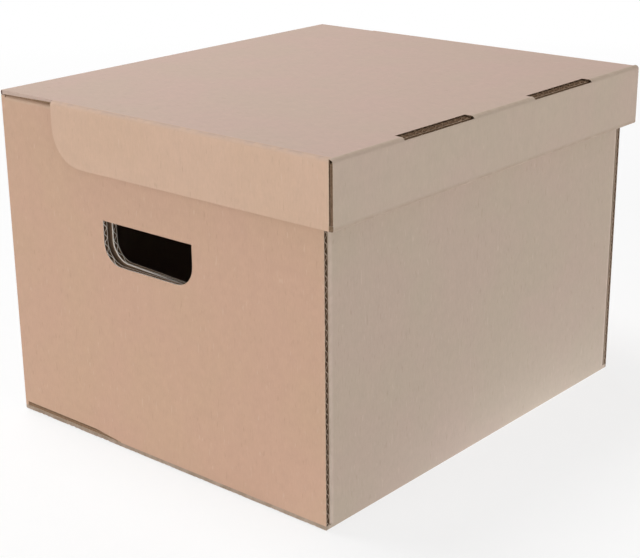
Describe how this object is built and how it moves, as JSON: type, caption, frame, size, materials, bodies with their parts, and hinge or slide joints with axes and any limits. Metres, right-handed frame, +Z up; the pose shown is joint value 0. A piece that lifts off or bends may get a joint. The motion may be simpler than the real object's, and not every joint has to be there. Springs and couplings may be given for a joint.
{
  "type": "archive box",
  "caption": "Corrugated board archive box with a crease-hinged lid, overhanging skirts, double-ply ends and hand holes with fold-in flaps.",
  "frame": {"origin": "centre of the base, on the floor, in the middle of the four walls", "axes": "+X along the lid's crease, from the left end to the right end; the front is at -Y and the crease at +Y; +Z up"},
  "size_m": [0.4046, 0.352, 0.28],
  "materials": {
    "kraft_board": "brown kraft liner, matt"
  },
  "bodies": {
    "box": {"bottom_panel": "kraft_board", "front_wall": "kraft_board", "back_wall": "kraft_board", "end_left_outer_wall": "kraft_board", "end_right_outer_wall": "kraft_board", "end_left_rim": "kraft_board", "end_right_rim": "kraft_board", "end_left_inner_wall": "kraft_board", "end_right_inner_wall": "kraft_board", "corner_flap_front_left": "kraft_board", "corner_flap_front_right": "kraft_board", "corner_flap_back_left": "kraft_board", "corner_flap_back_right": "kraft_board"},
    "lid": {"lid_top": "kraft_board", "lid_front_outer": "kraft_board", "lid_front_rim": "kraft_board", "lid_front_inner": "kraft_board", "lid_end_left_skirt": "kraft_board", "lid_end_right_skirt": "kraft_board", "lid_corner_tab_left": "kraft_board", "lid_corner_tab_right": "kraft_board"},
    "left_hand_flap": {"hand_flap_left": "kraft_board"},
    "right_hand_flap": {"hand_flap_right": "kraft_board"}
  },
  "joints": [
    {"name": "lid_crease", "type": "hinge", "parent": "box", "child": "lid", "pos_m": [0, 0.1705, 0.278], "axis": [-1, 0, 0], "range_deg": [0, 230]},
    {"name": "left_flap_crease", "type": "hinge", "parent": "box", "child": "left_hand_flap", "pos_m": [-0.18585, 0.0065, 0.192], "axis": [0, 1, 0], "range_deg": [0, 180]},
    {"name": "right_flap_crease", "type": "hinge", "parent": "box", "child": "right_hand_flap", "pos_m": [0.18585, 0.0065, 0.192], "axis": [0, -1, 0], "range_deg": [0, 180]}
  ]
}
